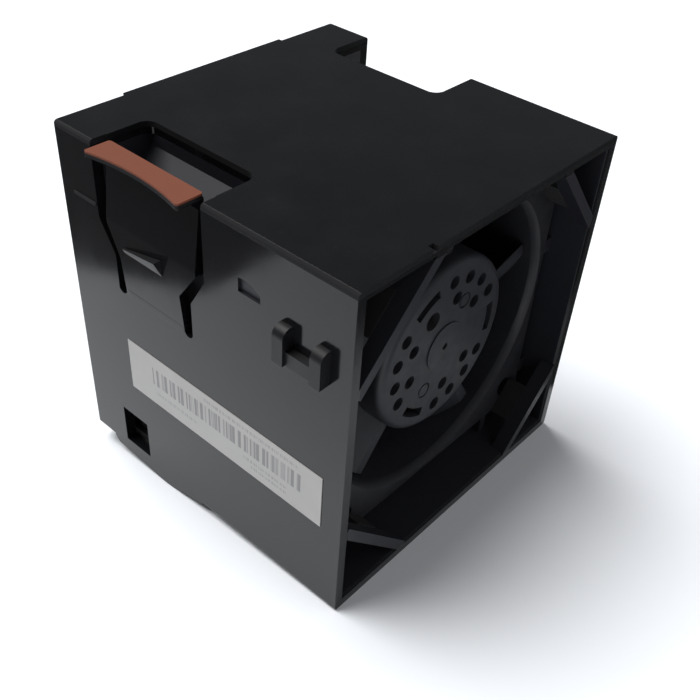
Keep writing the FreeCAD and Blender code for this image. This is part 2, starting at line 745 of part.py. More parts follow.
def fan_frame():
    half = FAN_SIZE / 2
    flange = rounded_block(-half, half, 0, FLANGE_THICKNESS, -half, half, FLANGE_CORNER)
    frame = disc(BARREL_RADIUS, 0, FAN_HALF_DEPTH).multiFuse([flange, middle_flange()])
    frame = frame.cut(disc(BORE_RADIUS, -PAST, FAN_HALF_DEPTH + PAST)).cut(bell_mouth())
    frame = frame.cut(Part.makeCompound(screw_holes()))
    struts = repeated(strut_bar(), STRUT_COUNT, LEAD_ANGLE)
    struts[0] = turned(lead_strut(), LEAD_ANGLE)
    frame = frame.multiFuse([motor_base()] + struts + board_posts())
    return frame.cut(turned(lead_notch(), LEAD_ANGLE)).cut(turned(lead_tunnel(), LEAD_ANGLE))


def frame_hooks():
    # Snap hooks of the front half, which reach over the rear half's flange
    reach = FAN_MIDDLE + FLANGE_THICKNESS
    low = FAN_Z + HOOK_PLACE - HOOK_WIDTH / 2
    high = low + HOOK_WIDTH
    hooks = []
    for side in (-1, 1):
        face = side * FAN_SIZE / 2
        skin = side * (FAN_SIZE / 2 + HOOK_THICKNESS)
        nib = side * (FAN_SIZE / 2 - HOOK_NIB)
        hooks.append(box(face, skin, FAN_MIDDLE - FLANGE_THICKNESS, reach + HOOK_REACH, low, high))
        hooks.append(box(nib, skin, reach + SEAT_GAP, reach + HOOK_REACH, low, high))
    return hooks


def hook_room(side):
    # The place in the rear half where a hook's nib sits
    middle = side * FAN_SIZE / 2
    half = HOOK_NIB + SEAT_GAP
    start = FAN_MIDDLE + FLANGE_THICKNESS
    z = FAN_Z + HOOK_PLACE
    rise = HOOK_WIDTH / 2 + SEAT_GAP
    return box(middle - half, middle + half, start, start + HOOK_REACH + SEAT_GAP, z - rise, z + rise)


def front_frame():
    return in_front_half(fan_frame()).multiFuse(frame_hooks())


def rear_frame():
    return in_rear_half(fan_frame()).cut(Part.makeCompound([hook_room(side) for side in (-1, 1)]))


# Impellers

def blade_section(radius, sweep):
    # A thin cambered section on a plane at one radius; its tail lies behind its nose by the sweep
    chord = math.hypot(sweep, BLADE_END - BLADE_START)
    across = Vector(0, -sweep / chord, -(BLADE_END - BLADE_START) / chord)
    nose = Vector(radius, BLADE_START, 0)
    tail = Vector(radius, BLADE_END, -sweep)
    crown = (nose + tail) * 0.5 + across * BLADE_CAMBER
    half = across * (BLADE_THICKNESS / 2)
    upper = Part.Arc(nose + half, crown + half, tail + half).toShape()
    lower = Part.Arc(tail - half, crown - half, nose - half).toShape()
    tail_edge = Part.makeLine(tail + half, tail - half)
    nose_edge = Part.makeLine(nose - half, nose + half)
    return Part.Wire([upper, tail_edge, lower, nose_edge])


def blades(count, first):
    # Vanes lofted through three sections, then trimmed to the hub and the bore
    inner = HUB_RADIUS - SECTION_INSIDE_HUB
    outer = BORE_RADIUS + SECTION_PAST_BORE
    middle = (inner + outer) / 2
    middle_sweep = (ROOT_SWEEP + TIP_SWEEP) / 2
    places = [(inner, ROOT_SWEEP), (middle, middle_sweep), (outer, TIP_SWEEP)]
    vane = Part.makeLoft([blade_section(radius, sweep) for radius, sweep in places], True, False)
    room = ring(BLADE_TIP, HUB_RADIUS - HUB_WALL / 2, BLADE_START + BLADE_TRIM, BLADE_END - BLADE_TRIM)
    return repeated(vane.common(room), count, first)


def vent_hole(circle, angle):
    vent = disc(VENT_RADIUS, -PAST, HUB_STEP + PAST)
    return turned(shifted(vent, circle, 0, 0), angle)


def arc_vent(angle):
    middle = HUB_RADIUS - ARC_VENT_EDGE_GAP
    half = ARC_VENT_WIDTH / 2
    end = HUB_STEP + PAST
    arc = ring(middle + half, middle - half, -PAST, end)
    spread = HUB_RADIUS * math.tan(math.radians(ARC_VENT_ANGLE / 2))
    wedge = prism_y([(0, 0), (HUB_RADIUS, -spread), (HUB_RADIUS, spread)], -2 * PAST, end + PAST)
    return turned(arc.common(wedge), angle)


def hub_vents():
    # Groups of round vents in two rows, with a curved slot between the groups
    outer_circle = HUB_RADIUS - VENT_EDGE_GAP
    inner_circle = outer_circle - VENT_ROW_GAP
    vents = []
    for group in range(VENT_GROUPS):
        turn = VENT_GROUP_ANGLE + group * 360.0 / VENT_GROUPS
        vents += [vent_hole(outer_circle, turn + step * VENT_STEP_ANGLE) for step in (-1.5, -0.5, 0.5, 1.5)]
        vents += [vent_hole(inner_circle, turn + step * VENT_STEP_ANGLE) for step in (-1, 1)]
        vents.append(arc_vent(turn + 180.0 / VENT_GROUPS))
    return vents


def gate_marks():
    # Ring marks of the mould's gates, with the hole for balancing putty in the place of one of them
    mark = ring(GATE_RADIUS, GATE_RADIUS - GATE_WIDTH, HUB_SETBACK - PAST, HUB_SETBACK + GATE_DEPTH)
    hole = disc(BALANCE_HOLE_RADIUS, HUB_SETBACK - PAST, HUB_STEP + PAST)
    marks = repeated(shifted(mark, GATE_CIRCLE, 0, 0), 2, 2 * BALANCE_HOLE_ANGLE)
    return marks + [turned(shifted(hole, GATE_CIRCLE, 0, 0), BALANCE_HOLE_ANGLE)]


def impeller(count, first):
    cup = disc(HUB_RADIUS, HUB_SETBACK, HUB_END)
    cup = cup.makeFillet(HUB_EDGE_RADIUS, circles_at(cup, HUB_SETBACK))
    cup = cup.cut(disc(HUB_INSIDE, HUB_STEP, FAN_HALF_DEPTH))
    boss = disc(BOSS_RADIUS, HUB_SETBACK - BOSS_RISE, HUB_STEP)
    bush_seat = disc(BOSS_RADIUS, HUB_SETBACK + HUB_FACE / 2, TUBE_START - 2 * BUSH_GAP)
    hub = cup.multiFuse([boss, bush_seat])
    hub = hub.cut(disc(DIMPLE_RADIUS, HUB_SETBACK - PAST, HUB_SETBACK - BOSS_RISE + DIMPLE_DEPTH))
    hub = hub.cut(disc(BUSH_RADIUS, HUB_STEP, FAN_HALF_DEPTH))
    hub = hub.cut(Part.makeCompound(hub_vents() + gate_marks()))
    return hub.multiFuse(blades(count, first))


# Motors

def outer_race(start):
    # A fixed ring with a thin shield at both faces
    end = start + BEARING_WIDTH
    inside = BEARING_RADIUS - RACE_THICKNESS
    rim = inside + RACE_THICKNESS / 2
    shield_bore = SHAFT_RADIUS + RACE_THICKNESS + BALL_GAP
    shields = [
        ring(rim, shield_bore, start, start + SHIELD_THICKNESS),
        ring(rim, shield_bore, end - SHIELD_THICKNESS, end),
    ]
    return ring(BEARING_RADIUS, inside, start, end).multiFuse(shields)


def inner_race(start):
    return ring(SHAFT_RADIUS + RACE_THICKNESS, SHAFT_RADIUS, start, start + BEARING_WIDTH)


def bearing_balls(start):
    inner = SHAFT_RADIUS + RACE_THICKNESS
    outer = BEARING_RADIUS - RACE_THICKNESS
    radius = (outer - inner) / 2 - BALL_GAP
    ball = Part.makeSphere(radius, Vector((inner + outer) / 2, start + BEARING_WIDTH / 2, 0))
    return repeated(ball, BALL_COUNT)


def stator_core():
    # Laminated teeth with curved poles
    core = ring(CORE_BORE + CORE_RING, CORE_BORE, STACK_START, STACK_END)
    half = TOOTH_WIDTH / 2
    tooth = box(
        CORE_BORE + CORE_RING / 2, POLE_INSIDE + POLE_THICKNESS / 2, STACK_START, STACK_END, -half, half
    )
    half = POLE_GAP / 2
    gap = box(POLE_INSIDE - PAST, CORE_RADIUS + PAST, STACK_START - PAST, STACK_END + PAST, -half, half)
    poles = ring(CORE_RADIUS, POLE_INSIDE, STACK_START, STACK_END)
    poles = poles.cut(Part.makeCompound(repeated(gap, TOOTH_COUNT, 180.0 / TOOTH_COUNT)))
    return core.multiFuse(repeated(tooth, TOOTH_COUNT) + poles.Solids)


def insulator_cap(y0):
    y1 = y0 + INSULATOR_THICKNESS
    half = TOOTH_WIDTH / 2
    cap = ring(CORE_BORE + CORE_RING, CORE_BORE, y0, y1)
    finger = box(CORE_BORE + CORE_RING / 2, POLE_INSIDE, y0, y1, -half, half)
    return cap.multiFuse(repeated(finger, TOOTH_COUNT))


def coil():
    # A bundle of wire round one tooth, wider towards the pole
    start = CORE_BORE + CORE_RING + RING_GAP
    end = POLE_INSIDE - RING_GAP
    a = COIL_INNER_WIDTH / 2
    b = COIL_OUTER_WIDTH / 2
    front = STACK_START - INSULATOR_THICKNESS
    back = STACK_END + INSULATOR_THICKNESS
    low = front - COIL_RISE
    high = back + COIL_RISE
    bundle = prism_y([(start, -a), (end, -b), (end, b), (start, a)], low, high)
    across = [e for e in bundle.Edges if abs(e.Vertexes[0].Y - e.Vertexes[1].Y) < TINY]
    sides = [e for e in across if abs(e.Vertexes[0].X - e.Vertexes[1].X) > TINY]
    bundle = bundle.makeFillet(COIL_EDGE, sides)
    half = TOOTH_WIDTH / 2 + RING_GAP
    inside = box(start - PAST, end + PAST, front - RING_GAP, back + RING_GAP, -half, half)
    return bundle.cut(inside).common(disc(end, low - PAST, high + PAST))


def shaft():
    rod = disc(SHAFT_RADIUS, HUB_STEP, SHAFT_END)
    groove_end = REAR_BEARING_END + CLIP_RING_THICKNESS
    rod = rod.cut(ring(SHAFT_RADIUS + PAST, SHAFT_RADIUS - CLIP_GROOVE, REAR_BEARING_END, groove_end))
    return rod.makeChamfer(SHAFT_CHAMFER, circles_at(rod, SHAFT_END))


def retaining_clip():
    # An open ring in the shaft's groove, behind the rear bearing
    start = REAR_BEARING_END
    clip = ring(CLIP_RING_RADIUS, SHAFT_RADIUS - CLIP_GROOVE, start, start + CLIP_RING_THICKNESS)
    half = CLIP_OPENING / 2
    return clip.cut(box(0, CLIP_RING_RADIUS + PAST, start - PAST, start + PAST, -half, half))


def shaft_bush():
    flange = ring(BUSH_RADIUS, SHAFT_RADIUS, HUB_STEP, TUBE_START - BUSH_GAP)
    nose = ring(SHAFT_RADIUS + RACE_THICKNESS, SHAFT_RADIUS, HUB_STEP, BEARING_START)
    return flange.fuse(nose)


def circuit_board():
    end = BASE_FLOOR_TOP - BOARD_GAP
    outside = BASE_RADIUS - BASE_RIM - 2 * RING_GAP
    return ring(outside, TUBE_RADIUS + RING_GAP, end - BOARD_THICKNESS, end)


def export_motors():
    export_halves("bearing_tube", [ring(TUBE_RADIUS, BEARING_RADIUS, TUBE_START, BASE_END)])
    export_halves("outer_races", [outer_race(start) for start in BEARING_STARTS])
    export_halves("bearing_balls", [ball for start in BEARING_STARTS for ball in bearing_balls(start)])
    export_halves("inner_races", [inner_race(start) for start in BEARING_STARTS])
    export_halves("stator_core", [stator_core()])
    cap_starts = (STACK_START - INSULATOR_THICKNESS, STACK_END)
    export_halves("slot_insulators", [insulator_cap(start) for start in cap_starts])
    export_halves("windings", repeated(coil(), TOOTH_COUNT))
    export_halves("circuit_board", [circuit_board()])
    export_halves("yoke_ring", [ring(YOKE_OUTSIDE, YOKE_INSIDE, HUB_STEP, HUB_END - YOKE_SHORTENING)])
    magnet = ring(MAGNET_OUTSIDE, MAGNET_INSIDE, STACK_START - MAGNET_LEAD, STACK_END + MAGNET_TAIL)
    export_halves("magnet_ring", [magnet])
    export_halves("shaft_bush", [shaft_bush()])
    export_halves("shaft", [shaft()])
    export_halves("retaining_clip", [retaining_clip()])


# Isolators between the corner webs and the fan's front flange

def isolator(side, level):
    low, high, along, inwards = web_line(side, level)
    middle = (low + high) * 0.5 + inwards * (WEB_THICKNESS / 2 - ISOLATOR_WIDTH / 2)
    reach = along * (ISOLATOR_LENGTH / 2)
    across = inwards * ISOLATOR_WIDTH
    return slanted_bar(middle - reach, middle + reach, across, FRONT + WEB_DEPTH, FAN_FRONT)


# Connector in the bottom wall

def docking_connector():
    x0, x1, y0, y1 = CONNECTOR_LEFT, CONNECTOR_RIGHT, CONNECTOR_FRONT, CONNECTOR_REAR
    lip = CONNECTOR_LIP
    body = box(x0, x1, y0, y1, -CONNECTOR_PROUD, CONNECTOR_TOP)
    flange = box(x0 - lip, x1 + lip, y0 - lip, y1 + lip, WALL, WALL + CONNECTOR_FLANGE)
    half = MOUTH_WIDTH / 2
    mouth = box(
        CONNECTOR_MIDDLE - half, CONNECTOR_MIDDLE + half, y0 + MOUTH_END_WALL, y1 - MOUTH_END_WALL,
        -CONNECTOR_PROUD - PAST, MOUTH_TOP,
    )
    lead_room = [lead_tube(side, LEAD_RADIUS + LEAD_FIT) for side in ("front", "rear")]
    return body.fuse(flange).cut(mouth).cut(Part.makeCompound(lead_room))


def connector_contacts():
    # Flat contacts along one wall of the mouth
    wall = CONNECTOR_MIDDLE - MOUTH_WIDTH / 2
    room = CONNECTOR_LENGTH - 2 * MOUTH_END_WALL
    pitch = room / CONTACT_COUNT
    half = CONTACT_WIDTH / 2
    contacts = []
    for number in range(CONTACT_COUNT):
        y = CONNECTOR_FRONT + MOUTH_END_WALL + (number + 0.5) * pitch
        contacts.append(box(
            wall, wall + CONTACT_THICKNESS, y - half, y + half, CONTACT_STUB - CONNECTOR_PROUD, MOUTH_TOP
        ))
    return contacts


# Leads from the motor bases to the connector

def lead_route(side):
    # From the motor base along its wide strut, then down and along to the connector's wall
    front = side == "front"
    y = FAN_MIDDLE - LEAD_SETBACK if front else FAN_MIDDLE + LEAD_SETBACK
    aside = LEAD_RADIUS + LEAD_MARGIN
    end_x = CONNECTOR_LEFT + aside if front else CONNECTOR_RIGHT - aside
    aim = math.radians(LEAD_ANGLE)
    start = BASE_RADIUS - LEAD_START_INSET
    return [
        Vector(start * math.cos(aim), y, FAN_Z + start * math.sin(aim)),
        Vector(end_x, y, FAN_Z + end_x * math.tan(aim)),
        Vector(end_x, CONNECTOR_FRONT + LEAD_ENTRY, (WALL + CONNECTOR_FLANGE + CONNECTOR_TOP) / 2),
    ]


def lead_tube(side, radius):
    # Straight runs joined by one tangent arc
    a, b, c = lead_route(side)
    run_in = b - a
    run_out = c - b
    half_turn = run_in.getAngle(run_out) / 2
    setback = LEAD_BEND_SHARE * min(run_in.Length, run_out.Length)
    bend = setback / math.tan(half_turn)
    into = b - run_in.normalize() * setback
    out = b + run_out.normalize() * setback
    inward = (run_out - run_in).normalize()
    centre = b + inward * (bend / math.cos(half_turn))
    arc = Part.Arc(into, centre - inward * bend, out).toShape()
    path = Part.Wire([Part.makeLine(a, into), arc, Part.makeLine(out, c)])
    section = Part.Wire([Part.makeCircle(radius, a, into - a)])
    return path.makePipeShell([section], True, True)


# Latch: a flexing tongue with a catch and a plate for the thumb

def thumb_plate(z0, z1):
    # A plate whose outer edge is hollowed for the thumb
    y0 = LATCH_Y - LATCH_HALF_TOP
    y1 = LATCH_Y + LATCH_HALF_TOP
    outer = LEFT - PLATE_REACH_ENDS
    inner = LEFT + PLATE_INNER_REACH
    hollow = Vector(LEFT - PLATE_REACH_MIDDLE, LATCH_Y, z0)
    curve = Part.Arc(Vector(outer, y0, z0), hollow, Vector(outer, y1, z0)).toShape()
    sides = Part.makePolygon([
        Vector(outer, y1, z0), Vector(inner, y1, z0), Vector(inner, y0, z0), Vector(outer, y0, z0),
    ])
    plate = Part.Face(Part.Wire([curve] + sides.Edges)).extrude(Vector(0, 0, z1 - z0))
    corners = [e for e in plate.Edges if abs(e.Vertexes[0].Z - e.Vertexes[-1].Z) > TINY]
    return plate.makeFillet(PLATE_CORNER, corners)


def latch_catch():
    # A wedge with a flat top, full at its front end and tapering to the rear
    top = TOP - CATCH_DROP
    bottom = top - CATCH_HEIGHT
    buried = LEFT + LATCH_THICKNESS / 2
    half = LATCH_HALF_NECK - CATCH_INSET
    ends = []
    for y, share in ((LATCH_Y + CATCH_SHIFT - half, 1.0), (LATCH_Y + CATCH_SHIFT + half, CATCH_REAR_SHARE)):
        tip = LEFT - share * CATCH_PROUD
        height = bottom + share * CATCH_HEIGHT
        points = [(buried, height), (tip, height), (LEFT, bottom), (buried, bottom)]
        ends.append(outline([Vector(x, y, z) for x, z in points]).OuterWire)
    return Part.makeLoft(ends, True, True)


def latch_arm():
    lean_start = TOP - LATCH_LEAN_DROP
    front = LEFT + LATCH_LEAN
    back = LEFT + LATCH_THICKNESS
    plate_back = LEFT + PLATE_INNER_REACH
    in_plate = PLATE_TOP - PLATE_THICKNESS / 2
    profile = [
        (LEFT, FLEX_HEIGHT), (LEFT, lean_start), (front, PLATE_BOTTOM - PLATE_BRACE), (LEFT, PLATE_BOTTOM),
        (LEFT, in_plate), (plate_back, in_plate), (plate_back, lean_start + LATCH_THICKNESS),
        (back, lean_start - LATCH_THICKNESS), (back, FLEX_HEIGHT),
    ]
    side_view = prism_y(profile, POCKET_FRONT, POCKET_REAR)
    points = latch_outline(LATCH_HALF_TOP, LATCH_HALF_NECK, LATCH_WAIST_SHIFT, FLEX_HEIGHT)
    tongue = side_view.common(prism_x(points, LEFT - PAST, plate_back + PAST))
    root = knuckle(LATCH_THICKNESS / 2, LATCH_HALF_NECK)
    return tongue.multiFuse([latch_catch(), thumb_plate(PLATE_BOTTOM, PLATE_TOP), root])


def touch_pad():
    return thumb_plate(PLATE_TOP, TOP)


def label():
    y0 = FRONT + LABEL_START
    top = LABEL_BOTTOM + LABEL_HEIGHT
    return box(LEFT - LABEL_THICKNESS, LEFT, y0, y0 + LABEL_LENGTH, LABEL_BOTTOM, top)


export("housing", housing())
export("rear_guard", rear_guard())
export_group("isolator_pads", [isolator(side, level) for side in (-1, 1) for level in (-1, 1)])
export("front_fan_frame", front_frame())
export("rear_fan_frame", rear_frame())
export_motors()
export("front_impeller", in_front_half(impeller(FRONT_BLADES, FIRST_BLADE_ANGLE)))
export("rear_impeller", in_rear_half(impeller(REAR_BLADES, FIRST_BLADE_ANGLE)))
export("docking_connector", docking_connector())
export_group("connector_contacts", connector_contacts())
export("front_fan_lead", lead_tube("front", LEAD_RADIUS))
export("rear_fan_lead", lead_tube("rear", LEAD_RADIUS))
export("latch_arm", latch_arm())
export("touch_pad", touch_pad())
export("label", label())
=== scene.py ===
import bmesh
import bpy
import math
import numpy as np
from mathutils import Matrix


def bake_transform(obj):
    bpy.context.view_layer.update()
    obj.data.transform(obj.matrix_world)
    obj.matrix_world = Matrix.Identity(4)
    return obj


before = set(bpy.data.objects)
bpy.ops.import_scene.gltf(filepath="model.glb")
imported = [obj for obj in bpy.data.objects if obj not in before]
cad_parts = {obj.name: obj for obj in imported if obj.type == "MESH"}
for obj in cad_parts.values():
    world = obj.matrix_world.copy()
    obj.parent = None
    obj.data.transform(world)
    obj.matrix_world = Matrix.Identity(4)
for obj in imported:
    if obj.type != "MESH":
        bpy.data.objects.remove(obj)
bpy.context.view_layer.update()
MM = 0.001

# The camera stands to the left of the module's open front and looks down on it, as in the
# photograph. The module leans a little on its front edge, so the horizon is slightly turned.
camera_data = bpy.data.cameras.new("camera")
camera_data.sensor_width = 36.0
camera_data.lens = 48.335
camera_data.clip_start = 0.01
camera = bpy.data.objects.new("camera", camera_data)
bpy.context.scene.collection.objects.link(camera)
camera.location = (-0.111045, -0.096188, 0.141321)
camera.rotation_euler = [math.radians(angle) for angle in (50.5128, -3.2191, -48.0165)]
bpy.context.scene.camera = camera
bpy.context.scene.view_settings.view_transform = "Standard"


# The floor is one smooth pale sheet. The module touches it with the edge under its open front
# and with the two skirts that guard the connector, so seen from the module the floor slopes.
def surface(name, points, closed=False):
    """A mesh from a grid of points[u, v]. Each grid cell is one face; a closed grid joins its last
    column to its first. Rows that fall on one point are merged, which closes a pole."""
    rows, columns = points.shape[:2]
    index = np.arange(rows * columns).reshape(rows, columns)
    if closed:
        index = np.hstack([index, index[:, :1]])
    faces = np.stack([index[:-1, :-1], index[1:, :-1], index[1:, 1:], index[:-1, 1:]], -1)
    mesh = bpy.data.meshes.new(name)
    mesh.from_pydata(points.reshape(-1, 3).tolist(), [], faces.reshape(-1, 4).tolist())
    work = bmesh.new()
    work.from_mesh(mesh)
    bmesh.ops.remove_doubles(work, verts=work.verts, dist=1e-7)
    bmesh.ops.dissolve_degenerate(work, edges=work.edges, dist=1e-8)
    bmesh.ops.recalc_face_normals(work, faces=work.faces)
    work.to_mesh(mesh)
    work.free()
    mesh.polygons.foreach_set("use_smooth", np.ones(len(mesh.polygons), bool))
    piece = bpy.data.objects.new(name, mesh)
    bpy.context.scene.collection.objects.link(piece)
    return piece


def finish(name, **sockets):
    """A material with one shader; whatever is the same all over is set on the shader itself."""
    material = bpy.data.materials.new(name)
    material.use_nodes = True
    shader = material.node_tree.nodes["Principled BSDF"]
    for socket, value in sockets.items():
        shader.inputs[socket.replace("_", " ")].default_value = value
    return material


def add(tree, kind, inputs=(), **settings):
    """A new node of that kind in a material's tree. Its inputs, by place or by name, are numbers,
    colours or the outputs of other nodes."""
    node = tree.nodes.new("ShaderNode" + kind)
    for key, value in settings.items():
        setattr(node, key, value)
    pairs = inputs.items() if isinstance(inputs, dict) else enumerate(inputs)
    for key, value in pairs:
        if isinstance(value, bpy.types.NodeSocket):
            tree.links.new(value, node.inputs[key])
        else:
            node.inputs[key].default_value = value
    return node


def place(material, stretch=(1, 1, 1)):
    """The point's place on the piece, in metres, stretched along the axes."""
    where = add(material.node_tree, "TexCoord").outputs["Object"]
    return add(material.node_tree, "Mapping", {"Vector": where, "Scale": stretch}).outputs[0]


def mottle(material, size, detail=2.0, stretch=(1, 1, 1)):
    """Soft random patches about that many metres across, from 0 to 1."""
    inputs = {"Vector": place(material, stretch), "Scale": 1 / size, "Detail": detail}
    return add(material.node_tree, "TexNoise", inputs).outputs[0]


def between(share, low, high, first=0.3, last=0.7):
    """Low where share is at first, high where it is at last, and even steps in between."""
    return add(share.id_data, "MapRange", [share, first, last, low, high]).outputs[0]


def times(share, factor):
    """The product of two numbers, the first of which changes over the surface."""
    return add(share.id_data, "Math", [share, factor], operation="MULTIPLY").outputs[0]


def sum_of(total, *parts):
    """The sum of numbers, the first of which changes over the surface."""
    for part in parts:
        total = add(total.id_data, "Math", [total, part], operation="ADD").outputs[0]
    return total


def blend_colours(share, first, second):
    """The first colour where share is 0, the second where it is 1, and mixtures in between."""
    first, second = [colour if isinstance(colour, bpy.types.NodeSocket) else (*colour, 1)
                     for colour in (first, second)]
    return add(share.id_data, "Mix", {0: share, 6: first, 7: second}, data_type="RGBA").outputs[2]


def join(material, socket, value):
    """Leads a number or colour that changes over the surface to the shader."""
    shader = material.node_tree.nodes["Principled BSDF"]
    material.node_tree.links.new(value, shader.inputs[socket])


def relief(material, height, depth):
    """Small ups and downs of the surface, depth metres from 0 to 1 of height."""
    bump = add(material.node_tree, "Bump", {"Height": height, "Distance": depth, "Strength": 1.0})
    join(material, "Normal", bump.outputs[0])


skirt_drop, skirt_behind_rim = 2.3, 45.8
floor_slope = -skirt_drop / skirt_behind_rim
rim_y = -33.85 * MM
floor_gap = 0.05 * MM
floor_half = 20.0


def above_floor(y, gap):
    """The height of a point at that y, gap metres above the plane that the module stands on."""
    return floor_slope * (y - rim_y) + gap


along = np.linspace(-floor_half, floor_half, 3)
floor_x, floor_y = np.meshgrid(along, along, indexing="ij")
floor = surface("floor", np.stack([floor_x, floor_y, above_floor(floor_y, -floor_gap)], -1))
paper = finish("floor_paper", Roughness=0.9, Specular_IOR_Level=0.1)
join(paper, "Base Color", blend_colours(
    mottle(paper, 0.4), (0.838, 0.858, 0.890), (0.858, 0.878, 0.910)))
floor.data.materials.append(paper)

# A wide soft lamp shines from above and behind the module, so its open front lies in shade. Dark
# cards lie on the floor, hidden from the camera and from every ray but glossy ones. They paint
# dark reflections into the polished plastic where it would otherwise mirror the lit floor: to the
# left, in front and at the right front.
world = bpy.data.worlds.new("studio")
world.use_nodes = True
background = world.node_tree.nodes["Background"]
background.inputs["Color"].default_value = (0.95, 0.97, 1.0, 1)
background.inputs["Strength"].default_value = 0.13
bpy.context.scene.world = world


def soft_lamp(name, energy, spread, turn):
    """A distant round lamp that looks spread degrees wide, tipped by turn from straight above."""
    data = bpy.data.lights.new(name, "SUN")
    data.energy = energy
    data.angle = math.radians(spread)
    lamp = bpy.data.objects.new(name, data)
    bpy.context.scene.collection.objects.link(lamp)
    lamp.rotation_euler = [math.radians(angle) for angle in turn]
    return lamp


soft_lamp("key_lamp", energy=4.2, spread=46, turn=(-27, -9, 0))
fill_lamp = soft_lamp("fill_lamp", energy=0.75, spread=70, turn=(52, 22, 0))
fill_lamp.visible_glossy = False

card_gap = 0.4 * MM


def dark_reflection_card(name, corners, grey):
    """A flat four-sided card just above the floor, seen only in glossy rays, where it paints a
    dark reflection; corners are x and y in millimetres.
    """
    flat = np.array(corners, float).reshape(2, 2, 2) * MM
    card = surface(name, np.concatenate([flat, above_floor(flat[..., 1:], card_gap)], -1))
    card.data.materials.append(finish(
        name + "_paint", Base_Color=(grey, grey, grey, 1), Roughness=1.0, Specular_IOR_Level=0.0))
    for ray in ("camera", "diffuse", "shadow", "transmission"):
        setattr(card, "visible_" + ray, False)


# Painted reflection: these cards only darken what the polished plastic mirrors.
dark_reflection_card("left_card", [(-83, 58), (-900, 58), (47, 388), (-700, 900)], grey=0.08)
dark_reflection_card("front_card", [(-60, -75), (900, -75), (-60, -900), (900, -900)], grey=0.05)
dark_reflection_card("right_card", [(26, -74.9), (900, -74.9), (50, -28), (900, -28)], grey=0.05)


# The housing is moulded in black plastic. Its top has a fine spark-eroded grain, the side walls
# are polished, the faces towards the front are satin, and the inside of the duct is dull. The
# inside of the duct and the small recess in the left wall are also painted a lighter black, as
# painted light that lifts their shade.
def dress(material, *nodes):
    """Gives the CAD nodes of those names the material."""
    for node in nodes:
        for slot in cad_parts[node].material_slots:
            slot.material = material


def facing(material, axis, sign):
    """1 where the surface faces up that axis, or down it for a sign of -1, and 0 elsewhere."""
    normal = add(material.node_tree, "TexCoord").outputs["Normal"]
    part = add(material.node_tree, "SeparateXYZ", [normal]).outputs[axis]
    return between(times(part, sign), 0, 1, 0.5, 0.8)


def along_axes(material):
    """The point's x, y and z on the piece, in metres."""
    return add(material.node_tree, "SeparateXYZ", [place(material)]).outputs


def within(value, low, high, soft=0.12):
    """1 where value lies between low and high, fading to 0 over the soft width outside, all in
    millimetres."""
    low, high, soft = low * MM, high * MM, soft * MM
    return times(between(value, 0, 1, low - soft, low), between(value, 1, 0, high, high + soft))


housing_black = finish("housing_black", IOR=1.40)
top_face = facing(housing_black, "Z", 1.0)
front_faces = facing(housing_black, "Y", -1.0)
grain = mottle(housing_black, 0.16 * MM, 3.0)
smears = mottle(housing_black, 9 * MM, 4.0, (1, 1, 0.6))
scuffs = between(mottle(housing_black, 1.4 * MM, 6.0, (1, 1, 8)), 0, 1, 0.62, 0.75)
polish = between(smears, 0.09, 0.16)
x, y, z = along_axes(housing_black)
# Masks for the inside of the duct and for the small recess in the left wall; both get a painted
# lighter black and more roughness.
duct = times(within(x, -31.9, 31.9, 0.05), within(z, 2.2, 66.9, 0.05))
recess_outline = times(within(y, -15.5, -10.5), within(z, 57.5, 60.2))
mould_recess = times(recess_outline, within(x, -33.9, -33.3, 0.05))
dull_and_painted_light = sum_of(duct, mould_recess)
top_edge = within(z, 68.2, 69.17, 0.02)
clip_and_catch = times(within(x, -36.5, -34.1, 0.05), within(z, 49, 58))
outer_black = blend_colours(smears, (0.0032, 0.0035, 0.0043), (0.0052, 0.0055, 0.0065))
# Painted light: a lighter, bluish black inside the duct and in the recess lifts their shade.
join(housing_black, "Base Color", blend_colours(dull_and_painted_light, outer_black, (0.016, 0.0165, 0.021)))
join(housing_black, "Roughness", sum_of(
    polish, times(top_face, 0.12), times(dull_and_painted_light, 0.25), times(clip_and_catch, 0.32),
    times(top_edge, 0.65), times(front_faces, 0.07), times(scuffs, 0.05)))
coarse = sum_of(times(top_face, 0.9), times(front_faces, 0.5), 0.10)
relief(housing_black, times(grain, coarse), 0.02 * MM)
dress(housing_black, "housing", "latch_arm")


# The latch is moulded in one piece with the left wall. The frame splits it at its root so that
# it can turn, and this skin over the split stands for the plastic that bends there.
def root_skin(half_length, half_height, half_thickness, middle):
    """An upright flat strip that runs along y, in millimetres. Its outline at angle v is c out of
    the wall and s up, the fourth roots of cos(v) and sin(v) with their signs, which is a box with
    rounded corners; along y it keeps its size and closes at both ends as (1 - u**40) ** 0.5."""
    stations, points_around = 61, 64
    u, v = np.meshgrid(np.sin(np.linspace(-np.pi / 2, np.pi / 2, stations)),
                       np.linspace(0, 2 * np.pi, points_around, endpoint=False), indexing="ij")
    size = np.sqrt(1 - u ** 40)
    across = np.sign(np.cos(v)) * np.abs(np.cos(v)) ** 0.25
    upward = np.sign(np.sin(v)) * np.abs(np.sin(v)) ** 0.25
    offsets = [half_thickness * size * across, half_length * u, half_height * size * upward]
    points = np.array(middle) * MM + np.stack(offsets, -1) * MM
    return surface("latch_root_skin", points, closed=True)


skin = root_skin(half_length=7.66, half_height=0.7, half_thickness=0.03,
                 middle=(-33.985, 10.65, 42.25))
skin.data.materials.append(housing_black)
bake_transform(skin)

# The rear guard is moulded in the same black plastic as the housing, but less polished. It snaps
# into a groove round the rear and holds the fan in.
guard_black = finish("guard_black", IOR=1.5)
join(guard_black, "Base Color", blend_colours(
    mottle(guard_black, 6 * MM, 4.0), (0.0075, 0.0075, 0.008), (0.012, 0.012, 0.012)))
join(guard_black, "Roughness", between(mottle(guard_black, 4 * MM, 5.0), 0.34, 0.48))
relief(guard_black, mottle(guard_black, 0.2 * MM, 3.0), 0.010 * MM)
dress(guard_black, "rear_guard")

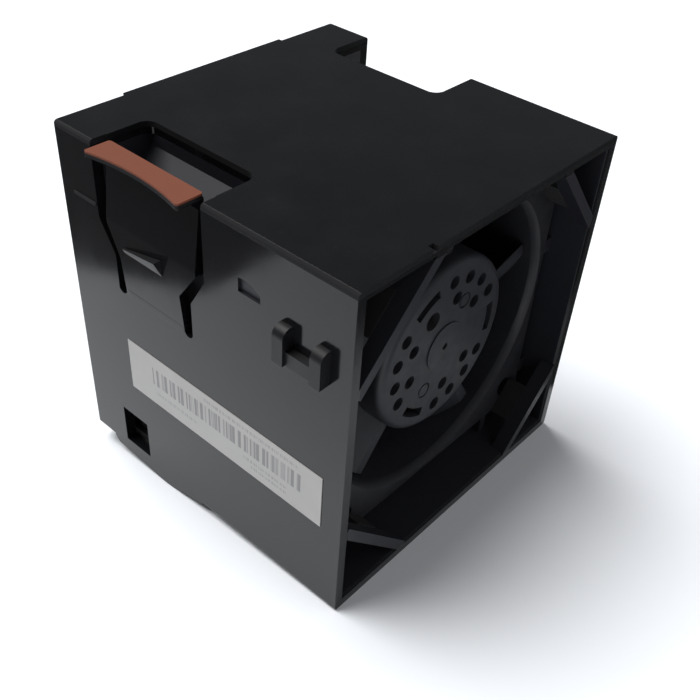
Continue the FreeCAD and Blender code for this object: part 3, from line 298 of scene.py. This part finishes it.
# The two fan frames are moulded in a duller, glass-filled black plastic, whose short fibres
# show as a faint speckle. Each has a bell mouth, a round barrel, struts and a motor base.
frame_black = finish("frame_black", IOR=1.5)
fibres = mottle(frame_black, 0.35 * MM, 2.0, (1, 0.35, 1))
join(frame_black, "Base Color", blend_colours(
    between(fibres, 0, 1, 0.45, 0.75), (0.0135, 0.0140, 0.0175), (0.020, 0.0205, 0.025)))
join(frame_black, "Roughness", between(mottle(frame_black, 5 * MM, 4.0), 0.40, 0.56))
relief(frame_black, fibres, 0.010 * MM)
dress(frame_black, "front_fan_frame", "rear_fan_frame")

# The impellers are dark grey plastic, each moulded in one piece with the cup that holds the
# magnet. A film of dust dulls and greys them in patches.
impeller_grey = finish("impeller_grey", IOR=1.5)
dust = mottle(impeller_grey, 3.0 * MM, 6.0)
speckle = mottle(impeller_grey, 0.22 * MM, 2.0)
clean_grey = blend_colours(
    between(speckle, 0, 1, 0.4, 0.7), (0.016, 0.017, 0.021), (0.022, 0.023, 0.028))
join(impeller_grey, "Base Color", blend_colours(
    between(dust, 0, 0.5, 0.45, 0.8), clean_grey, (0.029, 0.030, 0.034)))
join(impeller_grey, "Roughness", between(dust, 0.36, 0.55))
relief(impeller_grey, speckle, 0.012 * MM)
dress(impeller_grey, "front_impeller", "rear_impeller")

# The touch pad is a thin terracotta plate on top of the latch. It is matte, and thumbs have
# rubbed it a little smoother and darker in patches.
pad_terracotta = finish("pad_terracotta", IOR=1.36)
unrubbed = mottle(pad_terracotta, 2.5 * MM, 5.0)
join(pad_terracotta, "Base Color", blend_colours(
    unrubbed, (0.138, 0.038, 0.018), (0.166, 0.050, 0.026)))
join(pad_terracotta, "Roughness", between(unrubbed, 0.58, 0.80))
relief(pad_terracotta, mottle(pad_terracotta, 0.14 * MM, 3.0), 0.012 * MM)
dress(pad_terracotta, "touch_pad")

# The label is thin white film, stuck to the left wall. It carries one row of plain grey bars and
# a few broken grey lines, all of random marks.
label_film = finish("label_film", IOR=1.4)
_, label_along, label_up = along_axes(label_film)


def printed_row(front, rear, bottom, top, step, ink):
    """A row of grey marks along the label, in millimetres. A random wave along y is cut off half
    way up, which leaves marks and gaps of random widths, about one step each."""
    marks = between(mottle(label_film, step * MM, 1.0, (0, 1, 0)), 0, ink, 0.47, 0.53)
    field = times(within(label_along, front, rear), within(label_up, bottom, top))
    return times(marks, field)


bars = printed_row(-25, 13, 24.1, 28.0, step=0.75, ink=0.8)
lines = [printed_row(-24, -1, 29.1, 29.7, step=0.4, ink=0.5),
         printed_row(1, 12.5, 21.9, 22.5, step=0.4, ink=0.4),
         printed_row(-21.5, -11, 22.3, 22.8, step=0.4, ink=0.5),
         printed_row(-21.5, -13, 21.0, 21.5, step=0.4, ink=0.5)]
film_colour = blend_colours(
    mottle(label_film, 7 * MM, 3.0), (0.380, 0.372, 0.362), (0.425, 0.416, 0.405))
join(label_film, "Base Color", blend_colours(
    sum_of(bars, *lines), film_colour, (0.16, 0.16, 0.165)))
join(label_film, "Roughness", between(mottle(label_film, 3 * MM, 3.0), 0.34, 0.46))
relief(label_film, mottle(label_film, 0.3 * MM, 3.0), 0.004 * MM)
dress(label_film, "label")

# Four rubber pads sit between the corner webs and the fan's front flange and keep the fan's
# hum from the housing.
isolator_rubber = finish("isolator_rubber", Roughness=0.85)
join(isolator_rubber, "Base Color", blend_colours(
    mottle(isolator_rubber, 1.5 * MM, 4.0), (0.007, 0.007, 0.0075), (0.012, 0.012, 0.0125)))
relief(isolator_rubber, mottle(isolator_rubber, 0.25 * MM, 3.0), 0.02 * MM)
dress(isolator_rubber, "isolator_pads")

# The docking connector is stiff glass-filled plastic, clipped into the bottom wall from inside.
# Its contacts are stamped strips with a thin gold plating.
connector_black = finish("connector_black", IOR=1.55)
flow = mottle(connector_black, 0.3 * MM, 3.0, (1, 0.3, 1))
join(connector_black, "Base Color", blend_colours(
    flow, (0.010, 0.010, 0.010), (0.020, 0.020, 0.021)))
join(connector_black, "Roughness", between(flow, 0.33, 0.48))
relief(connector_black, flow, 0.008 * MM)
dress(connector_black, "docking_connector")
contact_gold = finish("contact_gold", Metallic=1.0)
rolled = mottle(contact_gold, 0.1 * MM, 2.0, (1, 1, 0.1))
join(contact_gold, "Base Color", blend_colours(rolled, (0.85, 0.57, 0.24), (0.95, 0.70, 0.34)))
join(contact_gold, "Roughness", between(rolled, 0.16, 0.30))
relief(contact_gold, rolled, 0.002 * MM)
dress(contact_gold, "connector_contacts")

# The two leads carry the motors' wires to the connector. Each is a bundle of thin wires in a
# braided black sleeve.
lead_sleeve = finish("lead_sleeve")
braid = add(lead_sleeve.node_tree, "TexVoronoi", {
    "Vector": place(lead_sleeve), "Scale": 1 / (0.35 * MM)}).outputs[0]
join(lead_sleeve, "Base Color", blend_colours(
    braid, (0.030, 0.030, 0.031), (0.009, 0.009, 0.009)))
join(lead_sleeve, "Roughness", between(braid, 0.45, 0.75))
relief(lead_sleeve, braid, 0.05 * MM)
dress(lead_sleeve, "front_fan_lead", "rear_fan_lead")

# Inside each hub: a turned brass bearing tube and shaft bush, two ground steel ball bearings
# and a ground shaft held by a spring clip.
axis_height = 37 * MM


def from_axis(material):
    """The distance in metres from the fan's axis, which runs along y."""
    x, _, z = along_axes(material)
    across = add(material.node_tree, "CombineXYZ", [x, 0.0, sum_of(z, -axis_height)]).outputs[0]
    return add(material.node_tree, "VectorMath", [across], operation="LENGTH").outputs["Value"]


def ridges(distance, pitch):
    """Waves from 0 to 1 that repeat every pitch metres of that distance."""
    angle = times(distance, 2 * math.pi / pitch)
    wave = add(angle.id_data, "Math", [angle], operation="SINE").outputs[0]
    return between(wave, 0, 1, -1, 1)


def turned_metal(name, dark, light, smooth, rough, pitch):
    """Metal with the fine rings that a lathe or grinder leaves, pitch metres apart along y."""
    metal = finish(name, Metallic=1.0)
    rings = ridges(along_axes(metal)["Y"], pitch)
    stain = mottle(metal, 1.2 * MM, 4.0)
    join(metal, "Base Color", blend_colours(stain, dark, light))
    join(metal, "Roughness", between(sum_of(times(rings, 0.4), stain), smooth, rough, 0.3, 1.0))
    relief(metal, rings, 0.002 * MM)
    return metal


brass = turned_metal(
    "brass", (0.62, 0.40, 0.14), (0.72, 0.50, 0.20), smooth=0.22, rough=0.40, pitch=0.12 * MM)
bearing_steel = turned_metal(
    "bearing_steel", (0.50, 0.50, 0.52), (0.60, 0.60, 0.61), smooth=0.12, rough=0.25,
    pitch=0.05 * MM)
shaft_steel = turned_metal(
    "shaft_steel", (0.52, 0.52, 0.54), (0.62, 0.62, 0.63), smooth=0.10, rough=0.22,
    pitch=0.04 * MM)
yoke_steel = turned_metal(
    "yoke_steel", (0.42, 0.42, 0.42), (0.55, 0.54, 0.52), smooth=0.25, rough=0.45,
    pitch=0.15 * MM)
sides = ("front_", "rear_")
for side in sides:
    dress(brass, side + "bearing_tube", side + "shaft_bush")
    dress(bearing_steel, side + "outer_races", side + "inner_races", side + "bearing_balls")
    dress(shaft_steel, side + "shaft", side + "retaining_clip")
    dress(yoke_steel, side + "yoke_ring")

# The stator is a stack of thin steel plates with white insulating caps and six copper coils,
# and the rotor's ring magnet is black moulded ferrite.
lamination_steel = finish("lamination_steel", Metallic=1.0)
plates = ridges(along_axes(lamination_steel)["Y"], 0.5 * MM)
join(lamination_steel, "Base Color", blend_colours(
    plates, (0.12, 0.12, 0.13), (0.40, 0.40, 0.41)))
join(lamination_steel, "Roughness", between(plates, 0.30, 0.50, 0, 1))
relief(lamination_steel, plates, 0.02 * MM)
insulator_white = finish("insulator_white")
cloud = mottle(insulator_white, 1.0 * MM, 4.0)
join(insulator_white, "Base Color", blend_colours(cloud, (0.62, 0.61, 0.56), (0.72, 0.71, 0.67)))
join(insulator_white, "Roughness", between(cloud, 0.40, 0.60))
relief(insulator_white, mottle(insulator_white, 0.2 * MM), 0.006 * MM)
copper = finish("copper", Metallic=0.6)
strands = ridges(from_axis(copper), 0.36 * MM)
join(copper, "Base Color", blend_colours(strands, (0.42, 0.13, 0.05), (0.86, 0.40, 0.20)))
join(copper, "Roughness", between(strands, 0.22, 0.42, 0, 1))
relief(copper, strands, 0.12 * MM)
magnet_black = finish("magnet_black")
powder = mottle(magnet_black, 0.3 * MM, 4.0)
join(magnet_black, "Base Color", blend_colours(
    powder, (0.020, 0.019, 0.018), (0.034, 0.032, 0.030)))
join(magnet_black, "Roughness", between(powder, 0.45, 0.65))
relief(magnet_black, powder, 0.02 * MM)
for side in sides:
    dress(lamination_steel, side + "stator_core")
    dress(insulator_white, side + "slot_insulators")
    dress(copper, side + "windings")
    dress(magnet_black, side + "magnet_ring")

# The driver board of each motor is a ring of green glass-fibre board with copper tracks under
# a glossy lacquer.
board_green = finish("board_green", Coat_Weight=0.4, Coat_Roughness=0.15)
tracks = between(ridges(from_axis(board_green), 0.9 * MM), 0, 1, 0.45, 0.6)
join(board_green, "Base Color", blend_colours(
    tracks, (0.010, 0.055, 0.020), (0.030, 0.120, 0.045)))
join(board_green, "Roughness", between(mottle(board_green, 1.0 * MM), 0.25, 0.40))
relief(board_green, tracks, 0.03 * MM)
dress(board_green, "front_circuit_board", "rear_circuit_board")
